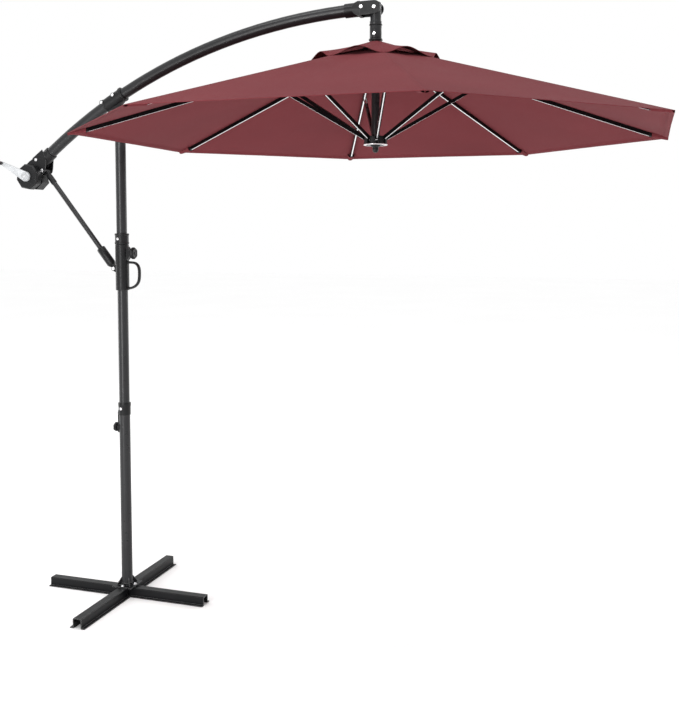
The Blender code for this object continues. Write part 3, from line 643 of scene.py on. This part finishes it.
def bright_strip(name, body, k, half, start, end, top, bottom):
    """A bright metal strip under a rib or stretcher, from start to end in rib k's drawing; it stands in for the
    painted highlight along the part's lower edge.

    top and bottom are depths below that line.
    """
    spans = 12
    crown = 0.0004
    ahead = (end - start).normalized()
    below = Vector((ahead.z, 0, -ahead.x))
    corners = ((-half, top), (half, top), (half, bottom - crown), (0, bottom), (-half, bottom - crown))
    shape = bmesh.new()
    rings = []
    for i in range(spans + 1):
        place = start + (end - start) * (i / spans)
        rings.append([shape.verts.new(place + Vector((0, y, 0)) + below * depth) for y, depth in corners])
    join_rings(shape, rings)
    bmesh.ops.transform(shape, matrix=on_rib(k), verts=shape.verts)
    add_piece(name, shape, "bright_steel", body)


def build_pocket(k):
    """The cloth pocket that holds the rib's end: a folded patch sewn under the corner."""
    mouth = 1.176
    tip = CANOPY_R - 0.0015
    mouth_half = 0.0215
    mouth_hang = 0.0185
    tip_hang_less = 0.0110
    narrowing = 0.35
    sweep = 0.30
    below_cloth = 0.0016
    wall = 0.0008
    cut_shift = 0.05
    cut_stretch = 1.04
    rows = 8
    half_columns = 6
    shape = bmesh.new()
    weave = shape.loops.layers.uv.new("weave")
    flat_place = {}
    layers = []
    for inner in (False, True):
        grid = []
        for i in range(rows + 1):
            share = i / rows
            radius = mouth + (tip - mouth) * share
            half = mouth_half * (1 - narrowing * share)
            row = []
            for j in range(2 * half_columns + 1):
                across = -1 + j / half_columns
                hang = (mouth_hang - tip_hang_less * share) * (1 - abs(across) ** 3)
                y = half * across
                z = APEX_Z - SLOPE * (radius + abs(y) * math.tan(HALF_GORE) * 0.5) - below_cloth - hang
                if inner:
                    z += wall
                vert = shape.verts.new(on_rib(k) @ Vector((radius - abs(y) * sweep, y, z)))
                flat_place[vert] = (y + cut_shift, radius * cut_stretch)
                row.append(vert)
            grid.append(row)
        layers.append(grid)
    close_cloth(shape, weave, layers[0], layers[1], flat_place)
    made = add_piece("corner_pocket_%d" % (k + 1), shape, "canopy_cloth", rib_body(k), sharp_deg=50)


def build_rib_end_cap(k, end):
    """A rounded oblong plug over the rib's end; end is in rib k's drawing."""
    sides = 20
    sections = ((-0.022, 0.0060, 0.0080), (-0.021, 0.0072, 0.0082), (0.003, 0.0078, 0.0083),
                (0.0065, 0.0068, 0.0076), (0.0085, 0.0040, 0.0050))
    above = Vector((-AHEAD.z, 0, AHEAD.x))
    shape = bmesh.new()
    rings = []
    for offset, wide, tall in sections:
        ring = []
        for i in range(sides):
            angle = 2 * math.pi * i / sides
            cosine, sine = math.cos(angle), math.sin(angle)
            sideways = wide * math.copysign(abs(cosine) ** 0.5, cosine)
            upward = tall * math.copysign(abs(sine) ** 0.5, sine)
            ring.append(shape.verts.new(end + AHEAD * offset + above * upward + Vector((0, sideways, 0))))
        rings.append(ring)
    join_rings(shape, rings)
    bmesh.ops.transform(shape, matrix=on_rib(k), verts=shape.verts)
    add_piece("rib_end_cap_%d" % (k + 1), shape, "black_plastic", rib_body(k), sharp_deg=50)


def build_joint_pin(k, place):
    """The headed pin that joins a stretcher to its rib; place is in rib k's drawing."""
    profile = [(0, -0.0088), (0.0040, -0.0088), (0.0045, -0.0078), (0.0045, -0.0066), (0.0028, -0.0066)]
    profile += [(0.0028, 0.0066), (0.0045, 0.0066), (0.0045, 0.0078), (0.0040, 0.0088), (0, 0.0088)]
    pin = lathe(profile, place, (0, 1, 0), 20)
    bmesh.ops.transform(pin, matrix=on_rib(k), verts=pin.verts)
    add_piece("rib_joint_pin_%d" % (k + 1), pin, "rib_paint", rib_body(k))


def build_rib_fittings():
    """What every rib and stretcher carries; the places are the same in each rib's drawing."""
    hinge = Vector((reach_of("rib_1_fold"), 0, pivot("rib_1_fold").z))
    end = hinge + AHEAD * ((RIB_END - hinge.x) / AHEAD.x)
    joint_place = hinge + AHEAD * ((STRETCHER_REACH - hinge.x) / AHEAD.x)
    foot = Vector((reach_of("stretcher_1_lift"), 0, pivot("stretcher_1_lift").z))
    rib_highlight_start = hinge + AHEAD * 0.030
    rib_highlight_end = end - AHEAD * 0.020
    stretcher_highlight_start = foot.lerp(joint_place, 0.03)
    stretcher_highlight_end = foot.lerp(joint_place, 0.77)
    for k in range(RIB_COUNT):
        build_rib_end_cap(k, end)
        # bright strips as painted highlights along the lower edges of rib and stretcher
        bright_strip("rib_highlight_strip_%d" % (k + 1), rib_body(k), k, 0.0026, rib_highlight_start, rib_highlight_end, 0.0070, 0.0083)
        bright_strip("stretcher_highlight_strip_%d" % (k + 1), "stretcher_%d_body" % (k + 1), k, 0.0021,
                     stretcher_highlight_start, stretcher_highlight_end, 0.0022, 0.0036)
        build_pocket(k)
        build_joint_pin(k, joint_place)


def build_hub_trim():
    """A rolled bright rim round the runner hub's lower edge, put there as a painted highlight of that edge."""
    low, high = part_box("runner_hub")
    rim = (high.x - low.x) / 2
    inner = rim - 0.006
    profile = [(inner, -0.0045), (rim + 0.0010, -0.0045), (rim + 0.0022, -0.0030)]
    profile += [(rim + 0.0022, -0.0008), (rim + 0.0010, -0.0003), (inner, -0.0003)]
    shape = lathe(profile, (AXIS.x, 0, low.z), (0, 0, 1), 64)
    add_piece("runner_hub_highlight_rim", shape, "bright_steel", "runner")


def build_knob(node, body, axis, seat, rise):
    """A six-lobed clamp knob. seat and rise are shares of its length, where its neck and head begin."""
    low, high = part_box(node)
    centre = (low + high) / 2
    axis = Vector(axis)
    length = abs((high - low) @ axis)
    back = centre - axis * length / 2
    rim = max(high.y - low.y, high.z - low.z) / 2
    head = length * rise
    shaft = 0.0038
    neck = 0.0086
    profile = [(0, 0), (shaft, 0), (shaft, length * seat), (neck, length * seat), (0.0098, head)]
    profile += [(rim * 0.80, head + 0.0012), (rim * 0.96, head + 0.0035), (rim * 0.98, length - 0.006)]
    profile += [(rim * 0.92, length - 0.0030), (rim * 0.74, length - 0.0010), (rim * 0.60, length - 0.0008)]
    profile += [(rim * 0.56, length - 0.0018), (rim * 0.30, length - 0.0018)]
    profile += [(rim * 0.22, length), (0, length)]
    shape = lathe(profile, back, axis, 72, lobes=6, depth=0.0011)
    add_piece(node + "_lobed", shape, "black_plastic", body, [node], sharp_deg=45)


# ---------------------------------------------------------------- the stage
def build_floor():
    plane = bmesh.new()
    bmesh.ops.create_grid(plane, x_segments=1, y_segments=1, size=FLOOR_SIZE / 2)
    mesh = bpy.data.meshes.new("floor")
    plane.to_mesh(mesh)
    plane.free()
    mesh.materials.append(floor_material())
    floor = bpy.data.objects.new("floor", mesh)
    bpy.context.scene.collection.objects.link(floor)


def build_lights():
    """A white surround and four long soft boxes; each row is name, place, width and height, power."""
    world = bpy.data.worlds.new("studio")
    world.use_nodes = True
    background = world.node_tree.nodes["Background"]
    background.inputs["Color"].default_value = (1.0, 1.0, 1.0, 1)
    background.inputs["Strength"].default_value = 1.0
    bpy.context.scene.world = world
    bpy.context.scene.view_settings.view_transform = "Standard"

    soft_boxes = (("key", (-0.2, -5.0, 1.6), (0.30, 4.4), 170),
                  ("side", (-4.5, 0.5, 2.0), (0.50, 4.0), 60),
                  ("rear", (3.0, 4.5, 2.5), (0.40, 4.0), 60),
                  ("over", (0.5, -1.5, 6.0), (4.5, 0.60), 90))
    for name, place, (width, height), power in soft_boxes:
        light = bpy.data.lights.new(name, "AREA")
        light.shape = "RECTANGLE"
        light.size = width
        light.size_y = height
        light.energy = power
        lamp = bpy.data.objects.new(name, light)
        lamp.location = place
        lamp.rotation_mode = "QUATERNION"
        lamp.rotation_quaternion = (LAMPS_FACE - Vector(place)).to_track_quat("-Z", "Y")
        bpy.context.scene.collection.objects.link(lamp)


def build_camera():
    data = bpy.data.cameras.new("camera")
    data.sensor_width = 36.0
    data.lens = CAMERA_LENS
    data.shift_x, data.shift_y = CAMERA_SHIFT
    camera = bpy.data.objects.new("camera", data)
    yaw, pitch = math.radians(CAMERA_YAW), math.radians(CAMERA_PITCH)
    ahead = Vector((math.cos(pitch) * math.cos(yaw), math.cos(pitch) * math.sin(yaw), math.sin(pitch)))
    camera.location = CAMERA_PLACE
    camera.rotation_mode = "QUATERNION"
    camera.rotation_quaternion = ahead.to_track_quat("-Z", "Y")
    bpy.context.scene.collection.objects.link(camera)
    bpy.context.scene.camera = camera


build_camera()
build_floor()
build_lights()
EDGES = {"cross_bar_x": BAR_EDGE, "cross_bar_y": BAR_EDGE, "pole_foot": FOOT_EDGE}
REMADE = ("canopy", "vent_cap", "slider_knob", "lower_knob")
for node_name in frame["nodes"]:
    if node_name not in REMADE:
        fine_copy(node_name, EDGES.get(node_name, FINE_EDGE))
build_cloth()
build_screws()
build_hub_wires()
build_rib_fittings()
build_hub_trim()
build_knob("slider_knob", "slider_knob_body", (1, 0, 0), 0.46, 0.57)
build_knob("lower_knob", "lower_knob_body", (-1, 0, 0), 0.255, 0.36)
build_crank_trim()
